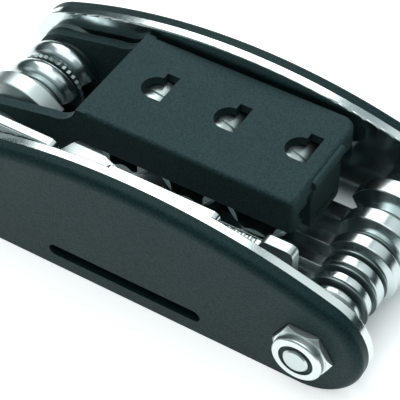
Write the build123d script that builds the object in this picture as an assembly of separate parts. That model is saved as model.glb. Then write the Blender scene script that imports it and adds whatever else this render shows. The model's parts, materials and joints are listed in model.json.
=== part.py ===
from build123d import *
import os
from math import atan2, cos, hypot, radians, sin, sqrt

# Folding bicycle multi-tool. Two arched steel liners with plastic covers are held apart by two
# M6 bolts. Six hex keys turn on the right bolt. Two screwdrivers, a socket driver, two flat
# wrench plates and a plastic holder with three sockets turn on the left bolt.
#
# Millimetres. X runs along the tool, Y across it from the nut side to the head side, Z up.
# The origin is at the middle of the tool, on the plane that the liners' straight edges stand on.

# ---- liners and covers ----
half_length = 46.7          # middle of the tool to the tip of a liner
liner_height = 27.2         # straight bottom edge to the top of the arch
end_radius = 10.4           # rounded ends of the outline
liner_thickness = 1.8
liner_edge_round = 0.3
liner_gap = 35.0            # between the inner faces of the two liners
cover_thickness = 2.9
shoulder_inset = 2.0        # rounding of a cover's outside: how far in from the outline
shoulder_depth = 1.4        # and how far down from the outer face
shoulder_steps = (0, 30, 55, 75, 90)        # degrees round the shoulder, one section each
slot_length = 32.0          # shallow grip slot along the bottom of each cover
slot_width = 2.6
slot_height = 4.2           # centre of the slot above the bottom edge
slot_centre = -0.5
slot_floor = 0.7            # plastic left under the slot
peg_radius = 1.5            # moulded pegs that hold a cover in its liner
peg_places = (-20.0, 20.0)
peg_height = 15.0

# ---- pivot bolts and nuts, M6 ----
left_inset = 9.7            # bolt axes in from the tips of the liners
right_inset = 10.7
bolt_height = 9.4           # bolt axes above the bottom edge
bolt_radius = 3.0
bolt_tip_radius = 2.4       # plain end of a bolt, inside its nylon ring
bolt_end_chamfer = 0.25
head_radius = 5.0
head_height = 6.0
head_edge_round = 0.6
head_socket_flats = 5.0
head_socket_depth = 3.0
nut_flats = 10.0
nut_hex_height = 4.1
nut_chamfer = 0.7
nut_collar_radius = 4.75
nut_collar_height = 1.6
nut_collar_round = 0.5
nut_lip = 0.3               # rolled rim over the nylon ring
nut_lip_gap = 0.3           # opening in the rolled rim, round the bolt
nylon_width = 0.9           # ring beyond the bolt's own radius
nylon_height = 1.4
bolt_proud = 0.3            # bolt end beyond the nut

# ---- fits ----
running = 0.05              # radial gap of a bolt in what turns on it
play = 0.05                 # gap between neighbours along a bolt
pocket_gap = 0.2            # round a nut or a bolt head in a cover
peg_gap = 0.05
socket_gap = 0.15           # between a socket and the panel
end_gap = 0.15              # between the last socket and the end wall
key_gap = 2.15              # between the end wall and the largest key's eye
shank_gap = 2.9             # between the largest socket and the shanks under it
clip_gap = 0.1              # round a socket in its clips
driver_fit = 0.05           # each side of the driver in a socket

# ---- stacks on the bolts, along Y from the nut side ----
right_near_spacer_length = 4.3
shim_thickness = 0.3
spacer_radius = 6.0
wrench_plate_thickness = 2.0
spoke_plate_thickness = 2.1
left_far_washer_length = 0.6
left_shim_thickness = 0.7
lock_washer_thickness = 0.8
lock_washer_radius = 7.2
lock_washer_bite = 0.3      # depth of the teeth round its rim
lock_washer_teeth = 36
far_washer_radius = 7.9

# ---- bars bent into eyes ----
hex_corner_round = 0.08     # corner radius of a drawn hex bar, as a share of its flats
hex_sizes = (2.0, 2.5, 3.0, 4.0, 5.0, 6.0)
hex_past_middle = (8.0, 8.0, -0.5, -0.5, -0.5, -0.5)    # tips beyond the tool's middle
hex_eye_turn = 242.0        # degrees of bar round the bolt
hex_tip_chamfer = 0.14      # share of the flats
driver_flats = 6.35
driver_past_middle = -1.0   # tips of the driver and the screwdrivers
driver_eye_turn = 222.0
driver_stub = 3.4           # straight end of the driver's eye
ball_radius = 1.25
ball_proud = 0.45
ball_from_tip = 4.5
ball_bore_depth = 3.0
screwdriver_diameter = 5.0
screwdriver_eye_turn = 250.0
cross_point_length = 5.0
cross_point_radius = 1.0    # blunt end of the cross point
cross_wing = 1.1
cross_core = 1.3
blade_length = 9.0
blade_thickness = 0.9

# ---- sockets ----
socket_sizes = (8.0, 9.0, 10.0)             # wrench sizes, from the left bolt outwards
socket_radii = (6.0, 6.3, 6.6)
socket_edge = 0.7
socket_mouth_depth = 10.0
socket_drive_depth = 8.0
socket_lobe = 0.95          # radius of the relief at each corner of the mouth
socket_bulge = 0.35         # how far the flats between them bow inwards
socket_groove = 0.3
socket_groove_width = 1.2
socket_end_gap = 0.2        # from each end to the holder's skirts

# ---- socket holder ----
holder_panel = 1.8
holder_skirt = 2.0          # thickness of the skirts and arms
skirt_drop = 7.6            # top of the panel to the bottom of the skirts
holder_margin = 2.15        # panel beyond the first socket
near_corner = 1.0           # upright corners of the free end
far_corner = 3.0
holder_edge_round = 0.8
socket_spacing = 1.3        # gap from one socket to the next
end_wall = 1.8
end_wall_drop = 4.2         # height of the end wall beside the tongue
tongue_top_width = 11.6
tongue_tip_width = 10.0
tongue_bottom = 11.6
tongue_corner = 1.0
groove_length = 6.6         # groove across the tongue, above its tip
groove_width = 1.1
groove_rise = 1.9
groove_depth = 0.7
tongue_slit = 0.5
tab_lip = 0.8
notch_depth = 1.4
notch_width = 1.8
arm_eye_radius = 7.7
arm_shoulder_run = 6.0      # length of the hollow curve where an arm leaves the panel
arm_shoulder_drop = 4.6
arm_hollow = 0.9            # how far that curve bows in
clip_thickness = 1.5
clip_inset = 2.4            # clip ribs from the inside of the skirts
clip_grip = 0.8             # how far the clips reach below the sockets' axes
window_radius = 2.75
window_offset = 0.4         # windows from the holder's centre line, towards the heads
window_lead = (1.05, 2.75, 3.0)     # windows ahead of their sockets
window_edge = 2.5           # straight edge of a window, from its centre
window_key_width = 2.6
window_key_reach = 4.2

# ---- flat wrench plates ----
plate_tail = 9.1            # bolt axis to the round end of the plates
plate_corner = 9.0
plate_edge_round = 0.35
wrench_plate_length = 53.0  # bolt axis to the free end
wrench_plate_top = 25.5
wrench_plate_bottom = 2.6
jaw_round = 1.4
end_mouth = 15.0            # open mouth in the end
end_mouth_depth = 14.0
top_mouth = 10.1
top_mouth_from_bolt = 24.9
top_mouth_depth = 8.5
bottom_mouth = 8.1
bottom_mouth_from_bolt = 14.0
bottom_mouth_depth = 7.0
spoke_plate_gap = 0.3       # free end to the spacer on the right bolt
spoke_plate_top = 20.3
spoke_plate_bottom = 2.2
spoke_head_length = 6.4
spoke_head_rise = 2.6
spoke_gap = 0.7             # nick between the long edge and the head
spoke_gap_depth = 1.6
hook_mouth = 7.0            # open mouth in the spoke plate's end
hook_mouth_depth = 9.0
hook_jaw = 5.0              # upper jaw above the mouth
hook_step = 3.0             # lower jaw shorter than the upper
spoke_notches = ((-10.0, 3.3), (-2.0, 3.5), (6.0, 4.0))     # place, width
spoke_notch_depth = 4.0
scallops = 6                # punched nicks along the spoke plate's long edge
scallop_radius = 0.7
scallop_depth = 0.22
edge_bevel_width = 1.4      # slope ground on the nut side of the nicked edge
edge_bevel_height = 3.0
edge_bevel_length = 22.0

# ---- worked out from the sizes above ----
right_x = half_length - right_inset
left_x = left_inset - half_length
inner_y = liner_gap / 2
seat_y = inner_y + liner_thickness          # outer face of a liner
cover_y = seat_y + cover_thickness
eye_bore = bolt_radius + running
nut_lip_radius = bolt_radius + nut_lip_gap
nylon_radius = bolt_radius + nylon_width
key_ring_radius = eye_bore + max(hex_sizes) / 2             # rings reach the bars' ridges
driver_ring_radius = eye_bore + max(driver_flats, screwdriver_diameter) / 2
driver_reach = driver_past_middle - left_x
plate_left = left_x - plate_tail
wrench_plate_end = left_x + wrench_plate_length
top_mouth_centre = left_x + top_mouth_from_bolt
bottom_mouth_centre = left_x + bottom_mouth_from_bolt
spoke_plate_end = right_x - spacer_radius - spoke_plate_gap
spoke_head_start = spoke_plate_end - spoke_head_length
holder_end = right_x - eye_bore - max(hex_sizes) - key_gap      # outside of the end wall
holder_inner_top = bolt_height - eye_bore + shank_gap + 2 * max(socket_radii) + socket_gap
holder_top = holder_inner_top + holder_panel


def hex_width(flats):
    """Width over two rounded corners of a drawn hex bar."""
    sharp = 2 * flats / sqrt(3)
    rounding = 2 * hex_corner_round * flats * (2 / sqrt(3) - 1)
    return sharp - rounding


def lanes(start, pieces):
    """Places (low, high) along Y for pieces threaded on a bolt with play between them."""
    places = {}
    y = start
    for name, width in pieces:
        places[name] = (y, y + width)
        y += width + play
    return places, y


# The first piece of the right stack sits on its liner, and the last one fills what is left.
right_stack = [("near_spacer", right_near_spacer_length)]
for size in hex_sizes:
    right_stack.append((size, hex_width(size)))
    right_stack.append((f"shim_{size}", shim_thickness))
right_stack.pop()
right_lane, right_next = lanes(-inner_y, right_stack)
right_lane["far_spacer"] = (right_next, inner_y)

# On the left the near spacer fills what is left.
left_plates = [
    ("wrench_plate", wrench_plate_thickness),
    ("spoke_plate", spoke_plate_thickness),
]
left_tools = [
    ("near_arm", holder_skirt),
    ("driver", hex_width(driver_flats)),
    ("shim_1", left_shim_thickness),
    ("slotted", screwdriver_diameter),
    ("lock_washer", lock_washer_thickness),
    ("cross", screwdriver_diameter),
    ("shim_2", left_shim_thickness),
    ("far_arm", holder_skirt),
]
left_lane, spacer_start = lanes(-inner_y + play, left_plates)
tools_length = lanes(0, left_tools)[1]
spacer_end = inner_y - left_far_washer_length - tools_length - play
left_lane["near_spacer"] = (spacer_start, spacer_end)
tool_lane, washer_start = lanes(spacer_end + play, left_tools)
left_lane.update(tool_lane)
left_lane["far_washer"] = (washer_start, inner_y)


def slab(sketch, y_low, y_high):
    """Extrude a sketch drawn in X and Z between two places along Y."""
    return extrude(Plane.XZ.offset(-y_high) * sketch, amount=y_high - y_low)


def disc(radius, y_low, y_high, x, z):
    """Cylinder along Y."""
    return slab(Pos(x, z) * Circle(radius), y_low, y_high)


def washer(radius, lane, x, hole=bolt_radius):
    """Flat ring that sits tight on a bolt, or on its thinner tip."""
    y_low, y_high = lane
    ring = Circle(radius) - Circle(hole)
    return slab(Pos(x, bolt_height) * ring, y_low, y_high)


def outline(inset=0.0):
    """Liner outline: straight bottom, rounded ends and an arch that meets them smoothly.

    An inset draws it smaller at the ends and the top; the bottom edge stays where it is.
    """
    radius = end_radius - inset / 2
    end_x = half_length - inset - radius
    height = liner_height - inset
    rise = height - radius
    arch_radius = (end_x**2 + rise**2 - radius**2) / (2 * (rise - radius))
    arch_z = height - arch_radius
    reach = hypot(end_x, radius - arch_z)
    join_x = end_x + radius * end_x / reach
    join_z = radius + radius * (radius - arch_z) / reach
    tip_x = end_x + radius
    edges = Line((-end_x, 0), (end_x, 0))
    edges += ThreePointArc((end_x, 0), (tip_x, radius), (join_x, join_z))
    edges += ThreePointArc((join_x, join_z), (0, height), (-join_x, join_z))
    edges += ThreePointArc((-join_x, join_z), (-tip_x, radius), (-end_x, 0))
    return make_face(edges)


def rim(solid, y):
    """Edges of the face that lies at one place along Y."""
    return solid.faces().filter_by(Axis.Y).sort_by(lambda f: abs(f.center().Y - y))[0].edges()


# ---- liners and covers ----
def liner(side):
    """Arched steel side plate, with holes for the bolts and for the cover's pegs."""
    y_low, y_high = sorted((side * inner_y, side * seat_y))
    plate = slab(outline(), y_low, y_high)
    plate = fillet(rim(plate, side * inner_y), liner_edge_round)
    for x in (left_x, right_x):
        plate -= disc(eye_bore, y_low, y_high, x, bolt_height)
    for x in peg_places:
        plate -= disc(peg_radius + peg_gap, y_low, y_high, x, peg_height)
    return plate


def cover_blank():
    """Near cover before its cuts: rounded over at the arch and the ends, sharp at the bottom."""
    shoulder_y = cover_y - shoulder_depth
    sections = []
    for angle in shoulder_steps:
        inset = shoulder_inset * (1 - cos(radians(angle)))
        y = shoulder_y + shoulder_depth * sin(radians(angle))
        sections.append(Plane.XZ.offset(y) * outline(inset))
    return slab(outline(), -shoulder_y, -seat_y) + loft(sections)


def cover(side):
    """Plastic cover: rounded shoulder, grip slot, pockets for the nuts or heads, two pegs."""
    y_low, y_high = sorted((side * seat_y, side * cover_y))
    shell = cover_blank()
    if side > 0:
        shell = mirror(shell, about=Plane.XZ)
    slot = Pos(slot_centre, slot_height) * SlotOverall(slot_length, slot_width)
    slot_low, slot_high = sorted((side * (seat_y + slot_floor), side * cover_y))
    shell -= slab(slot, slot_low, slot_high)
    for x in (left_x, right_x):
        if side < 0:
            across = (nut_flats / 2 + pocket_gap) * 2 / sqrt(3)
            pocket = RegularPolygon(across, 6)
        else:
            pocket = Circle(head_radius + pocket_gap)
        shell -= slab(Pos(x, bolt_height) * pocket, y_low, y_high)
    for x in peg_places:
        shell += disc(peg_radius, *sorted((side * inner_y, side * seat_y)), x, peg_height)
    return shell


# ---- bolts and nuts ----
nut_end = seat_y + nut_hex_height + nut_collar_height


def bolt(x):
    """Socket-head bolt: its head seats on the far liner, its end shows in the nut."""
    head = disc(head_radius, seat_y, seat_y + head_height, x, bolt_height)
    head = fillet(rim(head, seat_y + head_height), head_edge_round)
    drive = Pos(x, bolt_height) * RegularPolygon(head_socket_flats / sqrt(3), 6)
    head -= slab(drive, seat_y + head_height - head_socket_depth, seat_y + head_height)
    end = nut_end + bolt_proud
    tip_start = nylon_lane()[1]
    shaft = disc(bolt_radius, tip_start, seat_y, x, bolt_height)
    tip = disc(bolt_tip_radius, -end, tip_start, x, bolt_height)
    tip = chamfer(rim(tip, -end), bolt_end_chamfer)
    return head + shaft + tip


def nut(x):
    """Locking nut: chamfered hexagon, round collar, and a pocket for its nylon ring."""
    corner = nut_flats / sqrt(3)
    shoulder = seat_y + nut_hex_height
    blank = disc(corner, -shoulder, -seat_y, x, bolt_height)
    blank = chamfer(rim(blank, -shoulder), nut_chamfer)
    body = blank & slab(Pos(x, bolt_height) * RegularPolygon(corner, 6), -shoulder, -seat_y)
    collar = disc(nut_collar_radius, -nut_end, -shoulder, x, bolt_height)
    collar = fillet(rim(collar, -nut_end), nut_collar_round)
    body += collar
    body -= disc(bolt_radius, -nut_end, -seat_y, x, bolt_height)
    body -= disc(nut_lip_radius, -nut_end, -nut_end + nut_lip, x, bolt_height)
    body -= disc(nylon_radius, *nylon_lane(), x, bolt_height)
    return body


def nylon_lane():
    """Place of the nylon ring along the bolt."""
    return (-nut_end + nut_lip, -nut_end + nut_lip + nylon_height)


# ---- bars bent into eyes ----
def hex_section(flats):
    """Hexagon with rounded corners, two of them pointing along the bolt."""
    shape = RegularPolygon(flats / sqrt(3), 6)
    return fillet(shape.vertices(), hex_corner_round * flats)


def bar_start(x, lane, height):
    """Plane across the bar where the straight shank meets the eye, under the bolt."""
    y_middle = sum(lane) / 2
    z_middle = bolt_height - eye_bore - height / 2
    return Plane(origin=(x, y_middle, z_middle), x_dir=(0, 1, 0), z_dir=(1, 0, 0))


def eye(section, x, lane, height, turn):
    """The part of a bar that is rolled round a bolt, away from the middle of the tool."""
    side = 1 if x > 0 else -1
    axis = Axis((x, 0, bolt_height), (0, -side, 0))
    return revolve(bar_start(x, lane, height) * section, axis, turn)


def shank(section, x, lane, height, reach):
    """The straight part of a bar, from under the bolt towards the middle of the tool."""
    side = 1 if x > 0 else -1
    return extrude(bar_start(x, lane, height) * section, amount=reach, dir=(-side, 0, 0))


def bar_cylinder(x, lane, height, reach, radius, tip_chamfer):
    """Round bar along the shank with a chamfered tip, to shape or to trim a shank."""
    side = 1 if x > 0 else -1
    bar = shank(Circle(radius), x, lane, height, reach)
    tip = bar.faces().filter_by(Axis.X).sort_by(Axis.X)[0 if side > 0 else -1]
    return chamfer(tip.edges(), tip_chamfer)


def hex_bar(flats, x, lane, reach, turn):
    """Hex bar with a chamfered tip and an eye."""
    section = hex_section(flats)
    straight = shank(section, x, lane, flats, reach)
    corner = flats / sqrt(3)
    straight &= bar_cylinder(x, lane, flats, reach, corner, hex_tip_chamfer * flats)
    return straight + eye(section, x, lane, flats, turn)


def hex_key(index):
    """One of the six keys on the right bolt."""
    size = hex_sizes[index]
    reach = right_x + hex_past_middle[index]
    return hex_bar(size, right_x, right_lane[size], reach, hex_eye_turn)


def ball_place():
    """Centre of the driver's detent ball, in the upper flat of its shank."""
    x = left_x + driver_reach - ball_from_tip
    z = bolt_height - eye_bore + ball_proud - ball_radius
    return (x, sum(left_lane["driver"]) / 2, z)


def eye_stub(flats, lane, turn, length):
    """Short straight end of an eye on the left bolt, where the bar leaves the curve."""
    around = radians(-90 - turn)
    middle = eye_bore + flats / 2
    origin = (left_x + middle * cos(around), sum(lane) / 2, bolt_height + middle * sin(around))
    across = Plane(origin=origin, x_dir=(0, 1, 0), z_dir=(sin(around), 0, -cos(around)))
    return extrude(across * hex_section(flats), amount=length)


def socket_driver():
    """Quarter-inch hex bar that drives the sockets, with a bore for its detent ball."""
    lane = left_lane["driver"]
    bar = hex_bar(driver_flats, left_x, lane, driver_reach, driver_eye_turn)
    bar += eye_stub(driver_flats, lane, driver_eye_turn, driver_stub)
    x, y, z = ball_place()
    top = bolt_height - eye_bore
    bore = Pos(x, y, top - ball_bore_depth / 2) * Cylinder(ball_radius + running, ball_bore_depth)
    return bar - bore


def detent_ball():
    """Spring ball that holds a socket on the driver."""
    return Pos(*ball_place()) * Sphere(ball_radius)


def screwdriver_bar(lane, reach):
    """Round bar with an eye, for either screwdriver."""
    section = Circle(screwdriver_diameter / 2)
    straight = shank(section, left_x, lane, screwdriver_diameter, reach)
    return straight + eye(section, left_x, lane, screwdriver_diameter, screwdriver_eye_turn)


def cross_screwdriver():
    """Screwdriver with a cross point: a blunt cone cut down to four wings and a core."""
    lane = left_lane["cross"]
    bar = screwdriver_bar(lane, driver_reach - cross_point_length)
    x = left_x + driver_reach - cross_point_length
    y = sum(lane) / 2
    radius = screwdriver_diameter / 2
    z = bolt_height - eye_bore - radius
    along_x = Plane(origin=(x, y, z), x_dir=(0, 1, 0), z_dir=(1, 0, 0))
    cone = along_x * Pos(0, 0, cross_point_length / 2) * Cone(radius, cross_point_radius,
                                                             cross_point_length)
    wings = Rectangle(2 * radius, cross_wing) + Rectangle(cross_wing, 2 * radius)
    wings += Circle(cross_core)
    return bar + (cone & extrude(along_x * wings, amount=cross_point_length))


def slotted_screwdriver():
    """Screwdriver with a flat blade: the round bar ground to a wedge on two sides."""
    lane = left_lane["slotted"]
    bar = screwdriver_bar(lane, driver_reach)
    tip = left_x + driver_reach
    radius = screwdriver_diameter / 2
    z = bolt_height - eye_bore - radius
    for side in (-1, 1):
        wedge = Polygon(
            (tip - blade_length, z + side * radius),
            (tip, z + side * blade_thickness / 2),
            (tip, z + side * radius),
            align=None,
        )
        bar -= slab(wedge, *lane)
    return bar


# ---- sockets and their holder ----
def socket_places():
    """Centres (x, z) of the sockets, packed from the end wall back towards the left bolt."""
    places = []
    x = holder_end - end_wall - end_gap
    for radius in reversed(socket_radii):
        x -= radius
        places.append((x, holder_inner_top - socket_gap - radius))
        x -= radius + socket_spacing
    return list(reversed(places))


skirt_low = left_lane["near_arm"][0]                # outer faces of the two skirts
skirt_high = left_lane["far_arm"][1]
socket_low = skirt_low + holder_skirt + socket_end_gap
socket_high = skirt_high - holder_skirt - socket_end_gap
holder_middle = (skirt_low + skirt_high) / 2
holder_start = socket_places()[0][0] - socket_radii[0] - holder_margin


def mouth_profile(flats):
    """Six-sided wrench mouth: round reliefs at the corners, flats that bow in between them."""
    corner = flats / sqrt(3)
    spread = 2 * socket_lobe / corner
    edges = []
    for k in range(6):
        middle = radians(60 * k)
        first = (corner * cos(middle - spread / 2), corner * sin(middle - spread / 2))
        outer = ((corner + socket_lobe / 2) * cos(middle), (corner + socket_lobe / 2) * sin(middle))
        last = (corner * cos(middle + spread / 2), corner * sin(middle + spread / 2))
        flat = middle + radians(30)
        inner = ((flats / 2 - socket_bulge / 2) * cos(flat), (flats / 2 - socket_bulge / 2) * sin(flat))
        following = (corner * cos(middle + radians(60) - spread / 2),
                     corner * sin(middle + radians(60) - spread / 2))
        edges.append(ThreePointArc(first, outer, last))
        edges.append(ThreePointArc(last, inner, following))
    return make_face(edges)


def socket(index):
    """Wrench socket: mouth towards the nuts, hex drive hole at the other end."""
    x, z = socket_places()[index]
    radius = socket_radii[index]
    body = disc(radius, socket_low, socket_high, x, z)
    body = chamfer(rim(body, socket_low) + rim(body, socket_high), socket_edge)
    middle = (socket_low + socket_high) / 2
    groove = Circle(radius) - Circle(radius - socket_groove)
    body -= slab(Pos(x, z) * groove, middle, middle + socket_groove_width)
    mouth = mouth_profile(socket_sizes[index])
    body -= slab(Pos(x, z) * mouth, socket_low, socket_low + socket_mouth_depth)
    drive = RegularPolygon((driver_flats / 2 + driver_fit) * 2 / sqrt(3), 6)
    body -= slab(Pos(x, z) * drive, socket_high - socket_drive_depth, socket_high)
    return body


def arm(lane):
    """Arm of the holder: an eye on the left bolt that widens up to the panel."""
    corner_z = holder_top - skirt_drop
    shoulder = (holder_start - arm_shoulder_run, holder_top - arm_shoulder_drop)
    hollow = (holder_start - arm_shoulder_run / 2 + arm_hollow,
              holder_top - arm_shoulder_drop / 2 - arm_hollow)

    def tangent(px, pz, side):
        """Point where a line from (px, pz) grazes the eye, above (1) or below (-1)."""
        away = hypot(px - left_x, pz - bolt_height)
        lean = atan2(pz - bolt_height, px - left_x)
        turn = lean + side * atan2(sqrt(away**2 - arm_eye_radius**2), arm_eye_radius)
        return (left_x + arm_eye_radius * cos(turn), bolt_height + arm_eye_radius * sin(turn))

    top = tangent(*shoulder, 1)
    bottom = tangent(holder_start, corner_z, -1)
    inner = holder_start + holder_skirt
    edges = ThreePointArc((holder_start, holder_top), hollow, shoulder)
    edges += Polyline(shoulder, top, (left_x, bolt_height), bottom, (holder_start, corner_z),
                      (inner, corner_z), (inner, holder_top), (holder_start, holder_top))
    face = make_face(edges) + Pos(left_x, bolt_height) * Circle(arm_eye_radius)
    face -= Pos(left_x, bolt_height) * Circle(eye_bore)
    return slab(face, *lane)


def window(index):
    """Keyhole window in the panel over one socket, with one straight edge."""
    x = socket_places()[index][0] + window_lead[index]
    y = holder_middle + window_offset
    key_x = x + window_edge - window_key_width / 2
    key_height = window_radius + window_key_reach
    key = Pos(key_x, y - window_radius + key_height / 2) * Rectangle(window_key_width, key_height)
    side = Pos(x + window_edge - window_radius, y) * Rectangle(2 * window_radius, 2 * window_radius)
    shape = (Pos(x, y) * Circle(window_radius) & side) + key
    return extrude(Plane.XY.offset(holder_inner_top) * shape, amount=holder_panel)


def holder_shell():
    """Panel, skirts and end wall: an open box, its corners rounded at the free end."""
    length = holder_end - holder_start
    width = skirt_high - skirt_low
    middle_x = (holder_start + holder_end) / 2
    block = Pos(middle_x, holder_middle, holder_top - skirt_drop / 2) * Box(length, width, skirt_drop)
    uprights = block.edges().filter_by(Axis.Z).sort_by(Axis.X)[-2:].sort_by(Axis.Y)
    block = fillet(uprights[:1], near_corner)
    far_upright = block.edges().filter_by(Axis.Z).filter_by(
        lambda e: abs(e.center().Y - skirt_high) < running and e.center().X > middle_x)
    block = fillet(far_upright, far_corner)
    top = block.faces().sort_by(Axis.Z)[-1]
    kept = top.edges().sort_by(Axis.X)[0]
    block = fillet([e for e in top.edges() if e != kept], holder_edge_round)
    hollow_length = length - end_wall
    hollow = Box(hollow_length, width - 2 * holder_skirt, skirt_drop - holder_panel)
    hollow_z = holder_top - skirt_drop + (skirt_drop - holder_panel) / 2
    block -= Pos(holder_start + hollow_length / 2, holder_middle, hollow_z) * hollow
    under_height = skirt_drop - end_wall_drop
    under = Box(2 * end_wall, width - 2 * holder_skirt, under_height)
    return block - Pos(holder_end, holder_middle, holder_top - skirt_drop + under_height / 2) * under


def tongue():
    """Spring tongue that hangs from the end of the holder, with a lip at its top and a groove."""
    half_top = tongue_top_width / 2
    half_tip = tongue_tip_width / 2
    shape = Polygon(
        (holder_middle - half_top, holder_top - holder_edge_round),
        (holder_middle - half_tip, tongue_bottom),
        (holder_middle + half_tip, tongue_bottom),
        (holder_middle + half_top, holder_top - holder_edge_round),
        align=None,
    )
    blade = extrude(Plane.YZ.offset(holder_end - end_wall) * shape, amount=end_wall)
    tips = blade.edges().filter_by(Axis.X).sort_by(Axis.Z)[:2]
    blade = fillet(tips, tongue_corner)
    groove = Box(2 * groove_depth, groove_length, groove_width)
    blade -= Pos(holder_end, holder_middle, tongue_bottom + groove_rise) * groove
    lip = Box(tab_lip + end_wall, tongue_top_width - 2 * tongue_slit, holder_panel)
    lip = fillet(lip.edges().filter_by(Axis.Y).sort_by(Axis.X)[-2:], tab_lip / 2)
    lip_x = holder_end - end_wall + (tab_lip + end_wall) / 2
    return blade + Pos(lip_x, holder_middle, holder_top - holder_panel / 2 - tab_lip / 2) * lip


def holder_cuts():
    """V notches in the top edge and thin slits, at both sides of the tongue."""
    cuts = []
    for side in (-1, 1):
        y = holder_middle + side * tongue_top_width / 2
        notch = Polygon(
            (holder_end + tab_lip, y - notch_width),
            (holder_end - notch_depth, y),
            (holder_end + tab_lip, y + notch_width),
            align=None,
        )
        notch_z = holder_top - holder_panel - holder_edge_round
        cuts.append(extrude(Plane.XY.offset(notch_z) * notch, amount=holder_top - notch_z))
        slit_z = holder_top - skirt_drop
        height = notch_z - slit_z
        slit = Box(2 * end_wall, tongue_slit, height)
        y += side * tongue_slit / 2
        cuts.append(Pos(holder_end, y, slit_z + height / 2) * slit)
    return cuts


def clip_ribs():
    """Two ribs under the panel, hollowed to clip over the sockets, up to the last one's axis."""
    ribs = []
    lowest = min(z for _, z in socket_places()) - clip_grip
    length = socket_places()[-1][0] - holder_start
    height = holder_inner_top - lowest
    for y in (socket_low + clip_inset, socket_high - clip_inset):
        rib = Box(length, clip_thickness, height)
        rib = Pos(holder_start + length / 2, y, lowest + height / 2) * rib
        for (x, z), radius in zip(socket_places(), socket_radii):
            rib -= disc(radius + clip_gap, y - clip_thickness, y + clip_thickness, x, z)
        ribs.append(rib)
    return ribs


def socket_holder():
    """Moulded holder that carries the sockets and swings up on the left bolt."""
    body = holder_shell() + tongue()
    for lane in ("near_arm", "far_arm"):
        body += arm(left_lane[lane])
    for cut in holder_cuts():
        body -= cut
    for rib in clip_ribs():
        body += rib
    for index in range(len(socket_sizes)):
        body -= window(index)
    return body


# ---- flat wrench plates ----
def mouth(width, depth, x, z, angle):
    """Open wrench mouth: parallel jaws and a throat with flats, opening towards an angle."""
    throat = width / 4
    shape = Polygon(
        (depth, -width / 2),
        (depth, width / 2),
        (-throat, width / 2),
        (-2 * throat, throat),
        (-2 * throat, -throat),
        (-throat, -width / 2),
        align=None,
    )
    return Pos(x, z) * Rot(0, 0, angle) * shape


def plate_blank(end, bottom, top):
    """Flat plate with big round corners at the bolt and small ones at the free end."""
    length = end - plate_left
    height = top - bottom
    shape = Pos((end + plate_left) / 2, (top + bottom) / 2) * Rectangle(length, height)
    corners = shape.vertices().sort_by(Axis.X)
    shape = fillet(corners[:2], plate_corner)
    return fillet(shape.vertices().sort_by(Axis.X)[-2:], jaw_round)


def wrench_plate():
    """Open wrench plate: one mouth in its end, one in its top edge and one in its bottom edge."""
    low, high = left_lane["wrench_plate"]
    middle_z = (wrench_plate_top + wrench_plate_bottom) / 2
    shape = plate_blank(wrench_plate_end, wrench_plate_bottom, wrench_plate_top)
    reach = end_mouth_depth - end_mouth / 2
    shape -= mouth(end_mouth, end_mouth_depth, wrench_plate_end - reach, middle_z, 0)
    reach = top_mouth_depth - top_mouth / 2
    shape -= mouth(top_mouth, top_mouth_depth, top_mouth_centre, wrench_plate_top - reach, 90)
    reach = bottom_mouth_depth - bottom_mouth / 2
    low_mouth_z = wrench_plate_bottom + reach
    shape -= mouth(bottom_mouth, bottom_mouth_depth, bottom_mouth_centre, low_mouth_z, -90)
    tips = shape.vertices().filter_by(lambda v: is_jaw_tip(v, wrench_plate_top))
    shape = fillet(tips, jaw_round)
    shape -= Pos(left_x, bolt_height) * Circle(eye_bore)
    return slab(shape, low, high)


def is_jaw_tip(vertex, top):
    """True at the two corners where the top mouth meets the plate's top edge."""
    beside = abs(abs(vertex.X - top_mouth_centre) - top_mouth / 2) < running
    return beside and abs(vertex.Y - top) < running


def spoke_plate():
    """Spoke wrench plate: a nicked long edge, a raised head with a mouth, and spoke notches."""
    low, high = left_lane["spoke_plate"]
    shape = plate_blank(spoke_plate_end, spoke_plate_bottom, spoke_plate_top)
    head_length = spoke_plate_end - spoke_head_start
    head_height = hook_jaw + spoke_head_rise
    head_z = spoke_plate_top + spoke_head_rise - head_height / 2
    head = Pos(spoke_head_start + head_length / 2, head_z) * Rectangle(head_length, head_height)
    shape += fillet(head.vertices(), jaw_round)
    nick_z = spoke_plate_top - spoke_gap_depth / 2
    shape -= Pos(spoke_head_start - spoke_gap / 2, nick_z) * Rectangle(spoke_gap, spoke_gap_depth)
    for k in range(scallops):
        x = spoke_head_start - spoke_gap - scallop_radius * (2 * k + 2)
        z = spoke_plate_top + scallop_radius - scallop_depth
        shape -= Pos(x, z) * Circle(scallop_radius)
    mouth_z = spoke_plate_top - hook_jaw - hook_mouth / 2
    reach = hook_mouth_depth - hook_mouth / 2
    shape -= mouth(hook_mouth, hook_mouth_depth, spoke_plate_end - reach, mouth_z, 0)
    step_height = mouth_z - spoke_plate_bottom
    step_x = spoke_plate_end - hook_step / 2
    shape -= Pos(step_x, spoke_plate_bottom + step_height / 2) * Rectangle(hook_step, step_height)
    for x, width in spoke_notches:
        notch = Rectangle(width, 2 * spoke_notch_depth)
        shape -= Pos(x, spoke_plate_bottom) * notch
    shape -= Pos(left_x, bolt_height) * Circle(eye_bore)
    return slab(shape, low, high) - edge_bevel(low)


def edge_bevel(low):
    """Wedge taken off the nut side of the spoke plate's long edge, up to the nick by the head."""
    start = spoke_head_start - spoke_gap - edge_bevel_length
    corner = (low, spoke_plate_top)
    inner = (low + edge_bevel_width, spoke_plate_top)
    foot = (low, spoke_plate_top - edge_bevel_height)
    wedge = Plane.YZ.offset(start) * Polygon(corner, inner, foot, align=None)
    return extrude(wedge, edge_bevel_length)


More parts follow.
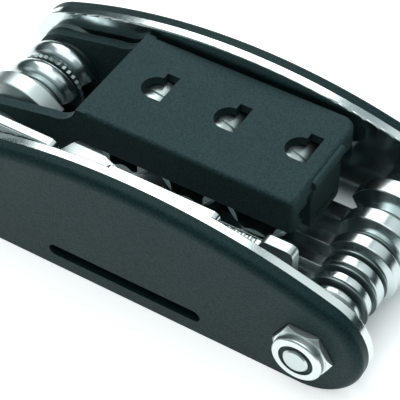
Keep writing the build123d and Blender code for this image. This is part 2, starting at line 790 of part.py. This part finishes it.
def lock_washer():
    """Ring with teeth round its rim, between the two screwdrivers."""
    points = []
    for k in range(2 * lock_washer_teeth):
        angle = radians(180 * k / lock_washer_teeth)
        radius = lock_washer_radius - lock_washer_bite * (k % 2)
        points.append((radius * cos(angle), radius * sin(angle)))
    ring = Polygon(*points, align=None) - Circle(bolt_radius)
    return slab(Pos(left_x, bolt_height) * ring, *left_lane["lock_washer"])


# ---- every node, one STEP file each ----
def size_name(size):
    """Size as it is written in a node name, such as 2_5."""
    return f"{size:g}".replace(".", "_")


nodes = {
    "near_liner": liner(-1),
    "far_liner": liner(1),
    "near_cover": cover(-1),
    "far_cover": cover(1),
    "wrench_plate": wrench_plate(),
    "spoke_plate": spoke_plate(),
    "socket_driver": socket_driver(),
    "detent_ball": detent_ball(),
    "cross_screwdriver": cross_screwdriver(),
    "slotted_screwdriver": slotted_screwdriver(),
    "socket_holder": socket_holder(),
    "right_near_spacer": washer(spacer_radius, right_lane["near_spacer"], right_x),
    "right_far_spacer": washer(key_ring_radius, right_lane["far_spacer"], right_x),
    "left_near_spacer": washer(spacer_radius, left_lane["near_spacer"], left_x),
    "left_far_washer": washer(far_washer_radius, left_lane["far_washer"], left_x),
    "lock_washer": lock_washer(),
    "driver_shim": washer(driver_ring_radius, left_lane["shim_1"], left_x),
    "screwdriver_shim": washer(driver_ring_radius, left_lane["shim_2"], left_x),
}
for side_name, side_x in (("left", left_x), ("right", right_x)):
    nodes[f"{side_name}_bolt"] = bolt(side_x)
    nodes[f"{side_name}_nut"] = nut(side_x)
    ring = washer(nylon_radius, nylon_lane(), side_x, bolt_tip_radius)
    nodes[f"{side_name}_nylon_ring"] = ring
for index, size in enumerate(hex_sizes):
    nodes[f"hex_key_{size_name(size)}"] = hex_key(index)
for size in hex_sizes[:-1]:
    shim = washer(key_ring_radius, right_lane[f"shim_{size}"], right_x)
    nodes[f"shim_after_{size_name(size)}"] = shim
for index, size in enumerate(socket_sizes):
    nodes[f"socket_{size_name(size)}"] = socket(index)

os.makedirs("parts", exist_ok=True)
for name, shape in nodes.items():
    export_step(shape, f"parts/{name}.step")
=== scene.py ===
# %% [markdown]
# # A folding bicycle multi-tool
#
# Two arched steel liners with plastic covers are held apart by two bolts. Six hex keys turn on one
# bolt. Screwdrivers, a socket driver, two flat wrench plates and a plastic holder with three sockets
# turn on the other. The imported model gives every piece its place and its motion. This script gives
# each piece its finish, and builds the bent bars again as smooth surfaces, because polished steel
# shows every facet of a coarse mesh as a broken reflection.

# %% Load the fixed frame
import json
from math import cos, pi, radians, sin, sqrt

import bmesh
import bpy
import numpy as np
from mathutils import Matrix, Vector


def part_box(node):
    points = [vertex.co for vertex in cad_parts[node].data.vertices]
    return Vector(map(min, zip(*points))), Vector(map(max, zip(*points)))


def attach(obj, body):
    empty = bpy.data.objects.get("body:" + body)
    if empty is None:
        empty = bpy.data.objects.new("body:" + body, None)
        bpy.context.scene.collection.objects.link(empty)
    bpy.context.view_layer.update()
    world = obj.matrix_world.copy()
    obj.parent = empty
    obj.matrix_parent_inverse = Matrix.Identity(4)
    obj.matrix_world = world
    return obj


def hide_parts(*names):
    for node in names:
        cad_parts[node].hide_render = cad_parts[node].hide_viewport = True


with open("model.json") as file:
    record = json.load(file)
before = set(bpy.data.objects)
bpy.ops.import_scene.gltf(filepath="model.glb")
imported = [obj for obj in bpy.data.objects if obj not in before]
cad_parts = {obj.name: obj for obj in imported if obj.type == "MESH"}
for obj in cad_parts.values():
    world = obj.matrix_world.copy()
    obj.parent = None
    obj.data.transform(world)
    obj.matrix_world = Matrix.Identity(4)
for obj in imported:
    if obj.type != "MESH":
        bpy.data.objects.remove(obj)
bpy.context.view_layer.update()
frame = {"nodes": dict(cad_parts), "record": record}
nodes = frame["nodes"]
slot_of = {part["node"]: part["material_slot"] for part in frame["record"]["subparts"]}
bodies = frame["record"]["behaviour"]["bodies"]
body_of = {name: body for body, names in bodies.items() for name in names}
print("pieces in the frame:", len(nodes))

# %% [markdown]
# ## Places read from the frame
#
# Nothing is placed by eye. The bolts' boxes give their axes, and each bar's box gives its lane
# along the bolt and the place of its tip. All lengths below are in millimetres, and one factor
# turns them to metres where a mesh is made.

# %% Places of the bolts and the bars
MM = 0.001


def box_mm(name):
    """Lowest and highest corner of a node, in millimetres."""
    low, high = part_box(name)
    return np.array(low) / MM, np.array(high) / MM


def bolt_axis(name):
    """x and z of a bolt's axis: the middle of its box."""
    low, high = box_mm(name)
    middle = (low + high) / 2
    return middle[0], middle[2]


bolts = {"left": bolt_axis("left_bolt"), "right": bolt_axis("right_bolt")}
EYE_BORE = 3.05             # inside radius of every eye, which runs on a 6 mm bolt
print({side: np.round(place, 2) for side, place in bolts.items()})

# %% [markdown]
# ## Colours and nodes
#
# Paint and plastic are known by the colours on a screen, so they are written as hex codes. Blender
# adds light in linear values, so one function turns the codes. One more function adds a node with
# its settings and links, which keeps each material short enough to read as a recipe.

# %% Colour and node helpers
def linear(code):
    """Hex sRGB to linear RGBA: c / 12.92 when dark, else ((c + 0.055) / 1.055) to the power 2.4."""
    srgb = np.array([int(code[k:k + 2], 16) for k in (1, 3, 5)]) / 255
    bright = ((srgb + 0.055) / 1.055) ** 2.4
    return (*np.where(srgb <= 0.04045, srgb / 12.92, bright), 1.0)


def add(material, kind, inputs=None, **settings):
    """Add one node. Settings are its own; inputs get a value, or another node's output."""
    made = material.node_tree.nodes.new(kind)
    for name, value in settings.items():
        setattr(made, name, value)
    for name, value in (inputs or {}).items():
        if isinstance(value, bpy.types.NodeSocket):
            material.node_tree.links.new(value, made.inputs[name])
        else:
            made.inputs[name].default_value = value
    return made


def per_mm(size):
    """Texture scale whose features are about this many millimetres across, in metres' space."""
    return 1 / (size * MM)


def material(name, uv=None, stretch=(1, 1, 1)):
    """Empty material, its shader, and coordinates: the object's own, or a UV map, each stretched."""
    made = bpy.data.materials.new(name)
    made.use_nodes = True
    shader = made.node_tree.nodes["Principled BSDF"]
    if uv:
        source = add(made, "ShaderNodeUVMap", uv_map=uv).outputs["UV"]
    else:
        source = add(made, "ShaderNodeTexCoord").outputs["Object"]
    mapping = add(made, "ShaderNodeMapping", {"Vector": source, "Scale": stretch})
    return made, shader, mapping.outputs["Vector"]


def link(made, output, socket):
    """Link one output to one input."""
    made.node_tree.links.new(output, socket)


print("linear value of the code #808080:", round(float(linear("#808080")[0]), 3))

# %% [markdown]
# ## Moulded plastics
#
# The covers and the holder are moulded ABS. The mould was spark-eroded, which leaves a fine even
# grain on the plastic: it breaks up reflections, so black plastic looks deep grey under soft light.
# A fine noise texture gives the grain as flecks and bump, and a slow one makes the gloss uneven.

# %% Plastic finishes
GRAIN = 0.34                # mm, real grain is a third of that, drawn coarser so that it shows
CLOUD = 7.0                 # mm, patches where hands have rubbed the plastic
FLECKS = (0.35, 0.68)       # middle part of the fine noise, spread to the two colours
DULLER, GLOSSIER = 0.06, 0.05               # change of roughness from patch to patch
ABS_IOR = 1.53
COOL_SHEEN = "#93c9ca"      # the faint blue-green of light off this plastic


def moulded_plastic(name, dark, pale, gloss, grain_height, specular):
    """Spark-grained plastic: flecks of two close colours, uneven gloss and a fine bump."""
    made, shader, place = material(name)
    grain = add(made, "ShaderNodeTexNoise", {"Vector": place, "Scale": per_mm(GRAIN), "Detail": 3.0,
                                            "Roughness": 0.6})
    cloud = add(made, "ShaderNodeTexNoise", {"Vector": place, "Scale": per_mm(CLOUD), "Detail": 4.0})
    flecks = add(made, "ShaderNodeMapRange", {"Value": grain.outputs["Fac"], "From Min": FLECKS[0],
                                             "From Max": FLECKS[1]})
    tint = add(made, "ShaderNodeMix", {"Factor": flecks.outputs["Result"]}, data_type="RGBA")
    tint.inputs["A"].default_value = linear(dark)
    tint.inputs["B"].default_value = linear(pale)
    rough = add(made, "ShaderNodeMapRange", {"Value": cloud.outputs["Fac"], "To Min": gloss - GLOSSIER,
                                            "To Max": gloss + DULLER})
    bump = add(made, "ShaderNodeBump", {"Height": grain.outputs["Fac"], "Strength": 1.0,
                                       "Distance": grain_height * MM})
    link(made, tint.outputs["Result"], shader.inputs["Base Color"])
    link(made, rough.outputs["Result"], shader.inputs["Roughness"])
    link(made, bump.outputs["Normal"], shader.inputs["Normal"])
    shader.inputs["IOR"].default_value = ABS_IOR
    shader.inputs["Specular Tint"].default_value = linear(COOL_SHEEN)
    shader.inputs["Specular IOR Level"].default_value = specular
    return made


# Covers: moulded ABS, satin, rubbed by hands, so it gleams a little at the rounded shoulder.
# Holder: moulded ABS, coarser and duller, so its top looks evenly deep grey.
# Nylon: the turned rings in the nuts, plain dull grey with hardly any grain.
finish = {}
finish["cover_plastic"] = moulded_plastic("satin_black_abs", "#101f21", "#203436", 0.42, 0.08, 0.2)
finish["holder_plastic"] = moulded_plastic("matte_black_abs", "#1f2c2e", "#334446", 0.54, 0.09, 0.3)
finish["nylon"] = moulded_plastic("grey_nylon", "#1c2526", "#263132", 0.5, 0.02, 0.3)
print("plastics:", sorted(finish))

# %% [markdown]
# ## Plated steels
#
# Every metal piece is steel with a thin coat over it. Polished steel under nickel and chrome is a
# mirror, drawn bar keeps faint lines along its length, bead blasting under nickel gives a soft
# sparkle, and zinc looks milky. All are metals, so the tint, the roughness and the fine bump alone
# tell them apart.

# %% Steel finishes
# Marks of polishing, drawing and blasting are a few hundredths of a millimetre wide. They are drawn
# up to ten times coarser, so that they show.
RIPPLE = 3.0                # mm, length of the slow waves that rolling leaves in a bent bar
MARKS = (0.3, 0.7)          # middle part of the noise, spread over the roughness


def plated_steel(name, tint, gloss, spread, fine, depth, uv=None, stretch=(1, 1, 1), wave=0.0):
    """Plated steel: one tint, roughness from gloss to gloss + spread, fine marks of a size in mm."""
    made, shader, place = material(name, uv, stretch)
    marks = add(made, "ShaderNodeTexNoise", {"Vector": place, "Scale": per_mm(fine), "Detail": 4.0,
                                            "Roughness": 0.65})
    rough = add(made, "ShaderNodeMapRange", {"Value": marks.outputs["Fac"], "From Min": MARKS[0],
                                            "From Max": MARKS[1], "To Min": gloss,
                                            "To Max": gloss + spread})
    bump = add(made, "ShaderNodeBump", {"Height": marks.outputs["Fac"], "Strength": 0.5,
                                       "Distance": depth * MM})
    shader.inputs["Base Color"].default_value = linear(tint)
    shader.inputs["Metallic"].default_value = 1.0
    link(made, rough.outputs["Result"], shader.inputs["Roughness"])
    if wave:
        slow = add(made, "ShaderNodeTexNoise", {"Vector": place, "Scale": per_mm(RIPPLE)})
        ripple = add(made, "ShaderNodeBump", {"Height": slow.outputs["Fac"], "Strength": 1.0,
                                             "Distance": wave * MM})
        link(made, ripple.outputs["Normal"], bump.inputs["Normal"])
    link(made, bump.outputs["Normal"], shader.inputs["Normal"])
    return made


ALONG_X = (0.04, 1, 1)      # lines that run with the liners' edges
ALONG_BAR = (0.03, 1, 1)    # lines that run along a drawn bar, in its own UV map

# Chrome over polished sheet: a bright line along each liner's edge, with faint lines in it.
finish["liner_steel"] = plated_steel("polished_chrome_plate", "#cfd8d8", 0.10, 0.10, 0.18, 0.004,
                                     stretch=ALONG_X)
# Chrome over stamped plate: nearly as bright, a little softer.
finish["plate_steel"] = plated_steel("chromed_stamped_plate", "#cbd4d4", 0.12, 0.10, 0.2, 0.005,
                                     stretch=ALONG_X)
# Nickel over a punched and ground plate: greyer, its nicks catch small sparks of light.
finish["spoke_steel"] = plated_steel("nickel_plated_stamping", "#b6c1c1", 0.26, 0.14, 0.25, 0.008)
# Chrome over drawn bar: clear highlights that run round each eye, with slow ripples.
finish["key_steel"] = plated_steel("chromed_drawn_bar", "#c3cdce", 0.17, 0.10, 0.16, 0.003,
                                   uv="bar", stretch=ALONG_BAR, wave=0.004)
# Nickel over blasted bar: broad milky highlights without any mirror in them.
finish["driver_steel"] = plated_steel("blasted_satin_nickel", "#bcc7c7", 0.30, 0.12, 0.2, 0.012,
                                      uv="bar")
# Chrome over a turned socket: soft bright crescents inside the holder's windows.
finish["socket_steel"] = plated_steel("chromed_turned_socket", "#b0bcbc", 0.30, 0.05, 0.2, 0.001)
# Zinc over forged nuts, bolts and rings: pale and milky on the nut, greyer on the others.
finish["nut_steel"] = plated_steel("zinc_plated_nut", "#e4ecec", 0.30, 0.12, 0.3, 0.010)
finish["bolt_steel"] = plated_steel("zinc_plated_bolt", "#d0dada", 0.28, 0.12, 0.3, 0.010)
finish["washer_steel"] = plated_steel("zinc_plated_washer", "#7e8a8a", 0.36, 0.12, 0.25, 0.008)
# Hardened and polished ball: one sharp point of light.
finish["ball_steel"] = plated_steel("hardened_ball", "#c8d0d0", 0.05, 0.04, 0.3, 0.001)
print("finishes:", len(finish))

# %% [markdown]
# ## Dressing the CAD pieces
#
# Most pieces keep the shape they come with, and only change their finish. The slot named in the
# record says which finish each one takes.

# %% Give each CAD piece its finish
for name, piece in nodes.items():
    piece.data.materials.clear()
    piece.data.materials.append(finish[slot_of[name]])
nodes["detent_ball"].data.materials[0] = finish["ball_steel"]
print("pieces dressed:", len(nodes))

# %% [markdown]
# ## A bar as a surface of two numbers
#
# A bent bar is one profile carried along one line: straight under the bolt, round it, and in one
# case straight again for a few millimetres. One number says how far along the line a point is, the
# other says where it is round the profile. Working out both as whole arrays gives a smooth bar
# with no facets in its bend, which chrome needs.

# %% The path of a bar
TIP_STRETCH = 1.4           # mm at the tip with closer points, for the chamfer
TIP_STEPS, SHANK_STEPS, BEND_STEPS, STUB_STEPS = 24, 30, 90, 12


def bar_path(side, reach, height, turn, stub=0.0):
    """Centres (x, z), outward normals and lengths along a bar, from its tip to the end of its eye.

    Under the bolt the bar runs straight at the depth bore + height / 2. Then it goes round the bolt
    at that radius through the turn, and leaves on the tangent for the stub.
    """
    bolt_x, bolt_z = bolts[side]
    inward = 1 if side == "left" else -1
    radius = EYE_BORE + height / 2
    tip = np.linspace(0, TIP_STRETCH, TIP_STEPS)
    run = np.concatenate([tip, np.linspace(TIP_STRETCH, reach, SHANK_STEPS)[1:]])
    zero = np.zeros_like(run)
    straight = np.stack([bolt_x + inward * (reach - run), zero + bolt_z - radius], 1)
    turned = radians(turn) * np.linspace(0, 1, BEND_STEPS)[1:]
    angle = radians(-90) - inward * turned
    outward = np.stack([np.cos(angle), np.sin(angle)], 1)
    bend = np.array([bolt_x, bolt_z]) + radius * outward
    centres = np.concatenate([straight, bend])
    normals = np.concatenate([np.stack([zero, zero - 1], 1), outward])
    length = np.concatenate([run, reach + radius * turned])
    if stub:
        ahead = inward * np.array([sin(angle[-1]), -cos(angle[-1])])
        more = np.linspace(0, stub, STUB_STEPS)[1:]
        centres = np.concatenate([centres, centres[-1] + more[:, None] * ahead])
        normals = np.concatenate([normals, np.repeat(normals[-1:], len(more), 0)])
        length = np.concatenate([length, length[-1] + more])
    return centres, normals, length


print("points along a bar:", TIP_STEPS + SHANK_STEPS + BEND_STEPS - 2)

# %% [markdown]
# The profile of a drawn hex bar is a hexagon with rounded corners, because a drawing die can't be
# sharp. The mesh joins each profile to the next with a ring of four-sided faces, and closes both
# ends. Its UV map counts millimetres along and round the bar, so that drawn lines follow the bend.

# %% The profile and the mesh of a bar
CORNER_SHARE = 0.08         # corner radius, as a share of the flats
CORNER_STEPS = 5            # points on each rounded corner
BAR_CREASE = 32             # degrees between faces that stay a sharp edge


def hexagon(flats):
    """Rounded hexagon (across, outward): arcs about points set in from the six corners."""
    rounding = CORNER_SHARE * flats
    inner = (flats / 2 - rounding) * 2 / sqrt(3)
    corners = np.arange(6) * pi / 3
    fan = np.linspace(-pi / 6, pi / 6, CORNER_STEPS)
    angle = (corners[:, None] + fan).ravel()
    middle = np.repeat(corners, CORNER_STEPS)
    across = inner * np.cos(middle) + rounding * np.cos(angle)
    outward = inner * np.sin(middle) + rounding * np.sin(angle)
    return across, outward


def mesh_from_grid(name, points, length):
    """Closed mesh from points[row, column, xyz] in mm: quads round and along, a face at each end.

    A face's signed volume is a third of its corners' triple product; their sum tells whether the
    faces point inwards. The UV map called bar holds the length along and the way round, in metres.
    """
    rows, columns = points.shape[:2]
    first = np.arange(rows - 1)[:, None] * columns
    column = np.arange(columns)[None, :]
    after = (column + 1) % columns
    quads = np.stack([first + column, first + after, first + columns + after,
                      first + columns + column], 2).reshape(-1, 4)
    corners = points.reshape(-1, 3)
    a, b, c, d = (corners[quads[:, k]] for k in range(4))
    volume = np.einsum("ij,ij", np.cross(a, b), c) + np.einsum("ij,ij", np.cross(a, c), d)
    ends = [np.arange(columns)[::-1], (rows - 1) * columns + np.arange(columns)]
    faces = quads.tolist() + [end.tolist() for end in ends]
    around = np.hypot(*np.diff(points[rows // 2][:, 1:], axis=0).T)
    around = np.concatenate([[0], np.cumsum(around)])
    high = np.append(around, around[-1] + around[1])
    row = np.arange(rows - 1)[:, None] + 0 * column
    along = np.stack([length[row], length[row], length[row + 1], length[row + 1]], 2)
    near, far = high[column + 0 * row], high[column + 1 + 0 * row]
    round_it = np.stack([near, far, far, near], 2)
    cap = [np.stack([length[k] + 0 * around, around], 1) for k in (0, -1)]
    cap[0] = cap[0][::-1]
    uv = np.concatenate([np.stack([along, round_it], 3).reshape(-1, 2), *cap]) * MM
    mesh = bpy.data.meshes.new(name)
    mesh.from_pydata((corners * MM).tolist(), [], faces)
    mesh.uv_layers.new(name="bar").data.foreach_set("uv", uv.astype(np.float32).ravel())
    if volume < 0:
        mesh.flip_normals()
    mesh.shade_smooth()
    mesh.set_sharp_from_angle(angle=radians(BAR_CREASE))
    mesh.update()
    return mesh


print("points round a hex bar:", 6 * CORNER_STEPS)

# %% [markdown]
# A new mesh stands in for the CAD piece of the same name: it rides on the same body, takes the same
# slot, and the CAD piece is hidden. The piece's own box says how far the bar reaches from its bolt
# and which lane it runs in, so the new bar lies exactly where the old one was.

# %% Put a piece in its place
def place(name, mesh, stands_for):
    """Put a new mesh in the scene in place of a CAD node: same body, same slot."""
    piece = bpy.data.objects.new(name, mesh)
    bpy.context.scene.collection.objects.link(piece)
    mesh.materials.clear()
    mesh.materials.append(finish[slot_of[stands_for]])
    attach(piece, body_of[stands_for])
    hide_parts(stands_for)
    level = piece.modifiers.new("even_normals", "WEIGHTED_NORMAL")
    level.keep_sharp = True
    return piece


def reach_of(name, side):
    """Length from the bolt's axis to the tip, and the middle of the lane, from the node's box."""
    low, high = box_mm(name)
    bolt_x = bolts[side][0]
    reach = high[0] - bolt_x if side == "left" else bolt_x - low[0]
    return reach, (low[1] + high[1]) / 2


def carry(path, across, outward, lane):
    """Points of a profile carried along a path: centre + outward x normal, across along the bolt."""
    centres, normals, _ = path
    x = centres[:, :1] + outward * normals[:, :1]
    z = centres[:, 1:] + outward * normals[:, 1:]
    return np.stack([x, lane + across + 0 * x, z], 2)


print("reach and lane of the 6 mm key:", np.round(reach_of("hex_key_6", "right"), 2))

# %% [markdown]
# ## Hex keys and the socket driver
#
# Each key is drawn hex bar, cut with a small chamfer on its tip and rolled cold into an eye. The
# chamfer is the profile growing from a smaller copy of itself over the first fraction of a
# millimetre. The socket driver is the same thing in quarter-inch bar, blasted before it was plated.

# %% Build the hex bars
HEX_KEYS = {"hex_key_2": 2.0, "hex_key_2_5": 2.5, "hex_key_3": 3.0, "hex_key_4": 4.0,
            "hex_key_5": 5.0, "hex_key_6": 6.0}
KEY_TURN = 242              # degrees of bar round the bolt
DRIVER_FLATS = 6.35         # a quarter of an inch
DRIVER_TURN = 222
DRIVER_STUB = 3.4           # straight end of the driver's eye
TIP_CHAMFER = 0.14          # share of the flats


def hex_bar(name, side, flats, turn, stub=0.0):
    """Hex bar: a rounded hexagon carried along its path, its first stretch narrowed for the chamfer."""
    reach, lane = reach_of(name, side)
    path = bar_path(side, reach, flats, turn, stub)
    across, outward = hexagon(flats)
    length = path[2]
    cut = TIP_CHAMFER * flats
    scale = (1 - np.maximum(cut - length, 0) / (flats / 2))[:, None]
    points = carry(path, across * scale, outward * scale, lane)
    return place(name + "_bar", mesh_from_grid(name + "_bar", points, length), name)


for name, flats in HEX_KEYS.items():
    hex_bar(name, "right", flats, KEY_TURN)
hex_bar("socket_driver", "left", DRIVER_FLATS, DRIVER_TURN, DRIVER_STUB)
print("hex bars:", len(HEX_KEYS) + 1)

# %% [markdown]
# ## Screwdrivers
#
# Both are 5 mm round bar. The cross point is a blunt cone with four hollows milled into it, so its
# radius dips four times on the way round. The blade is the round bar ground flat from two sides, so
# its height is cut off at a limit that shrinks towards the tip.

# %% Build the screwdrivers
ROUND_BAR = 5.0
ROUND_TURN = 250
CROSS_LENGTH = 5.0
CROSS_BLUNT = 1.0           # radius of the blunt end
CROSS_CORE = 0.62           # the hollows' depth, as a share of the cone
BLADE_LENGTH = 9.0
BLADE_HALF = 0.45           # half the thickness at the blade's tip
MILLED_FADE = 1.5           # length over which the hollows run out into the bar
WORKED_FROM, WORKED_TO = 1.6, 9.6           # mm from the tip, where the shape still changes
WORKED_STEPS = 40
ROUND_STEPS = 64


def round_bar(name, shape):
    """Round bar whose tip radius and height are changed by shape(length, angle, across, outward)."""
    reach, lane = reach_of(name, "left")
    centres, normals, length = bar_path("left", reach, ROUND_BAR, ROUND_TURN)
    extra = np.linspace(WORKED_FROM, WORKED_TO, WORKED_STEPS)
    at = np.searchsorted(length, extra)
    between = np.stack([bolts["left"][0] + reach - extra, 0 * extra + centres[0, 1]], 1)
    centres = np.insert(centres, at, between, 0)
    normals = np.insert(normals, at, np.stack([0 * extra, 0 * extra - 1], 1), 0)
    length = np.insert(length, at, extra)
    angle = np.linspace(0, 2 * pi, ROUND_STEPS, endpoint=False)
    radius = ROUND_BAR / 2 + 0 * length[:, None] + 0 * angle
    across, outward = shape(length[:, None], angle, radius * np.cos(angle), radius * np.sin(angle))
    points = carry((centres, normals, length), across, outward, lane)
    return place(name + "_bar", mesh_from_grid(name + "_bar", points, length), name)


def cross_point(length, angle, across, outward):
    """Cone radius from blunt to full over the point; between the wings it falls to the core."""
    full = ROUND_BAR / 2
    cone = np.minimum(CROSS_BLUNT + (full - CROSS_BLUNT) * length / CROSS_LENGTH, full) / full
    wing = np.abs(np.cos(2 * angle)) ** 0.7
    share = CROSS_CORE + (1 - CROSS_CORE) * wing
    milled = np.clip((CROSS_LENGTH - length) / MILLED_FADE, 0, 1)
    factor = cone * (1 - milled * (1 - share))
    return across * factor, outward * factor


def blade(length, angle, across, outward):
    """Height limited to half the blade's thickness at the tip, and to the full radius at its root."""
    limit = BLADE_HALF + (ROUND_BAR / 2 - BLADE_HALF) * length / BLADE_LENGTH
    return across, np.clip(outward, -limit, limit)


round_bar("cross_screwdriver", cross_point)
round_bar("slotted_screwdriver", blade)
print("screwdrivers built")

# %% [markdown]
# ## Softened edges
#
# Stamped, moulded and machined pieces never have knife edges: a thin line of light runs along every
# one. A copy of such a piece has its loose triangles joined, and a Bevel modifier rounds the sharp
# edges by the few tenths of a millimetre that the process leaves.

# %% Soften the edges of the plates, nuts and mouldings
SAME_POINT = 0.002          # mm, points closer than this are one
FLAT_ANGLE = 0.5            # degrees, faces flatter than this are joined
EDGE_CREASE = 35            # degrees, edges sharper than this are rounded
EDGE_SEGMENTS = 3


def softened(name, width):
    """Copy of a CAD piece with its points joined and its sharp edges rounded by width, in mm."""
    mesh = nodes[name].data.copy()
    work = bmesh.new()
    work.from_mesh(mesh)
    bmesh.ops.remove_doubles(work, verts=work.verts, dist=SAME_POINT * MM)
    bmesh.ops.dissolve_limit(work, angle_limit=radians(FLAT_ANGLE), verts=work.verts,
                             edges=work.edges)
    work.to_mesh(mesh)
    work.free()
    mesh.name = name + "_soft"
    mesh.shade_smooth()
    mesh.set_sharp_from_angle(angle=radians(EDGE_CREASE))
    piece = place(name + "_soft", mesh, name)
    round_edges = piece.modifiers.new("rounded_edges", "BEVEL")
    round_edges.width = width * MM
    round_edges.segments = EDGE_SEGMENTS
    round_edges.limit_method = "ANGLE"
    round_edges.angle_limit = radians(EDGE_CREASE)
    round_edges.harden_normals = False
    round_edges.use_clamp_overlap = True
    piece.modifiers.move(1, 0)              # the bevel first, then even normals over it
    return piece


# Widths in mm: stamping leaves more on the plates, and the finer ones are polished or moulded.
EDGE_WIDTHS = {"wrench_plate": 0.3, "spoke_plate": 0.3, "near_liner": 0.12, "far_liner": 0.12,
               "left_nut": 0.15, "right_nut": 0.15, "socket_holder": 0.25, "near_cover": 0.12,
               "far_cover": 0.12}
for name, width in EDGE_WIDTHS.items():
    softened(name, width)
print("softened:", len(EDGE_WIDTHS))

# %% [markdown]
# ## The floor
#
# The tool stands on plain white paper that glows a little and evenly, which keeps the shadow round it
# faint. Right under the tool the glow is cut away, leaving a painted shadow, so the gaps between its
# pieces stay dark. The paper's own coordinates say which part of it lies between the liners.

# %% Floor
FLOOR_HALF = 3.0            # m
PAPER_ROUGHNESS = 0.9
PAINTED_SHADOW_HALF = (44, 17)        # mm, half the size of the painted shadow under the tool: the ground between the liners
GLOW = 0.58                 # glow of the paper outside the painted shadow
PAINTED_SHADOW_FADE_FROM, PAINTED_SHADOW_FADE_TO = 0.8, 1.15          # as shares of the painted shadow's half size, where it fades into the glow
corners = np.array([[-1, -1, 0], [1, -1, 0], [1, 1, 0], [-1, 1, 0]]) * FLOOR_HALF
floor_mesh = bpy.data.meshes.new("floor")
floor_mesh.from_pydata(corners.tolist(), [], [[0, 1, 2, 3]])
floor = bpy.data.objects.new("floor", floor_mesh)
bpy.context.scene.collection.objects.link(floor)
floor_paint, floor_shader, floor_place = material("glowing_paper_painted_shadow")
floor_shader.inputs["Base Color"].default_value = linear("#fbfdfd")
floor_shader.inputs["Roughness"].default_value = PAPER_ROUGHNESS
floor_shader.inputs["Emission Color"].default_value = linear("#ffffff")
# Painted shadow: the paper's glow falls to nothing in a box round the middle, under the tool.
away = add(floor_paint, "ShaderNodeVectorMath", {0: floor_place}, operation="ABSOLUTE")
share = add(floor_paint, "ShaderNodeVectorMath", {0: away.outputs["Vector"],
            1: (1 / (PAINTED_SHADOW_HALF[0] * MM), 1 / (PAINTED_SHADOW_HALF[1] * MM), 0)}, operation="MULTIPLY")
sides = add(floor_paint, "ShaderNodeSeparateXYZ", {"Vector": share.outputs["Vector"]})
painted_shadow_box = add(floor_paint, "ShaderNodeMath", {0: sides.outputs["X"], 1: sides.outputs["Y"]},
             operation="MAXIMUM")
glow_with_painted_shadow = add(floor_paint, "ShaderNodeMapRange", {"Value": painted_shadow_box.outputs["Value"],
           "From Min": PAINTED_SHADOW_FADE_FROM, "From Max": PAINTED_SHADOW_FADE_TO, "To Max": GLOW})
link(floor_paint, glow_with_painted_shadow.outputs["Result"], floor_shader.inputs["Emission Strength"])
floor_mesh.materials.append(floor_paint)
print("floor:", 2 * FLOOR_HALF, "m square")

# %% [markdown]
# ## Sky and lamps
#
# Chrome shows what is round it, so the sky is as much a part of its look as its finish. It is
# bright above and falls off towards the horizon, which draws the dark bands on the bars. Four soft
# rectangles add the broad highlights: two behind for the liners' edges, one overhead, one in front.

# %% Light the tool
world = bpy.data.worlds.new("studio")
bpy.context.scene.world = world
world.use_nodes = True
sky = world.node_tree.nodes["Background"]
ray = add(world, "ShaderNodeTexCoord")
split = add(world, "ShaderNodeSeparateXYZ", {"Vector": ray.outputs["Generated"]})
ramp = add(world, "ShaderNodeValToRGB", {"Fac": split.outputs["Z"]})
BANDS = ((0.02, "#1d2a2b"), (0.25, "#2c3b3d"), (0.50, "#5d7072"), (0.72, "#a5b5b6"),
         (1.0, "#c9d4d5"))  # height above the horizon, colour of the sky there
SKY_STRENGTH = 0.95
stops = ramp.color_ramp.elements
while len(stops) < len(BANDS):
    stops.new(0.5)
for stop, (height, code) in zip(stops, BANDS):
    stop.position = height
    stop.color = linear(code)
link(world, ramp.outputs["Color"], sky.inputs["Color"])
sky.inputs["Strength"].default_value = SKY_STRENGTH


def softbox(name, location, target, width, height, watts):
    """Rectangular area lamp at a place, turned to face a target, in metres."""
    lamp = bpy.data.lights.new(name, "AREA")
    lamp.shape = "RECTANGLE"
    lamp.size, lamp.size_y = width, height
    lamp.energy = watts
    stand = bpy.data.objects.new(name, lamp)
    stand.location = location
    ahead = Vector(target) - Vector(location)
    stand.rotation_euler = ahead.to_track_quat("-Z", "Y").to_euler()
    bpy.context.scene.collection.objects.link(stand)


softbox("back_left", (-0.24, 0.37, 0.47), (0, 0, 0), 0.42, 0.42, 1.5)
softbox("overhead", (0.0, 0.0, 0.9), (0, 0, 0), 0.9, 0.9, 3.0)
softbox("front_left", (-0.50, -0.30, 0.35), (0, 0, 0.01), 0.25, 0.30, 0.12)
softbox("back_right", (0.30, 0.38, 0.46), (0, 0, 0), 0.42, 0.42, 0.35)
print("lamps:", len(bpy.data.lights))

# %% [markdown]
# ## The camera
#
# A long lens looks down on the nut side from the right, so close that the tool's left end stays out
# of view. The camera's matrix is put together from three directions: right, up and back.

# %% Place the camera
AZIMUTH, ELEVATION, ROLL = 32.74785, 47.31971, -1.22366      # degrees
DISTANCE = 0.300                                            # m
TARGET = Vector((4.60908, -4.32058, 12.0)) * MM
LENS, SENSOR = 151.05, 36.0                                 # mm
NEAREST, FARTHEST = 0.01, 20.0                              # m, what the camera can see
a, e, r = radians(AZIMUTH), radians(ELEVATION), radians(ROLL)
back = Vector((sin(a) * cos(e), -cos(a) * cos(e), sin(e)))
level = Vector((cos(a), sin(a), 0))         # sideways, before the small roll
upright = back.cross(level)
right = level * cos(r) + upright * sin(r)
up = upright * cos(r) - level * sin(r)
camera_data = bpy.data.cameras.new("camera")
camera_data.lens = LENS
camera_data.sensor_width = SENSOR
camera_data.clip_start, camera_data.clip_end = NEAREST, FARTHEST
camera = bpy.data.objects.new("camera", camera_data)
bpy.context.scene.collection.objects.link(camera)
turned = Matrix((right, up, back)).transposed().to_4x4()
turned.translation = TARGET + DISTANCE * back
camera.matrix_world = turned
bpy.context.scene.camera = camera
bpy.context.scene.view_settings.view_transform = "Standard"
print("camera at", np.round(turned.translation, 3), "m")
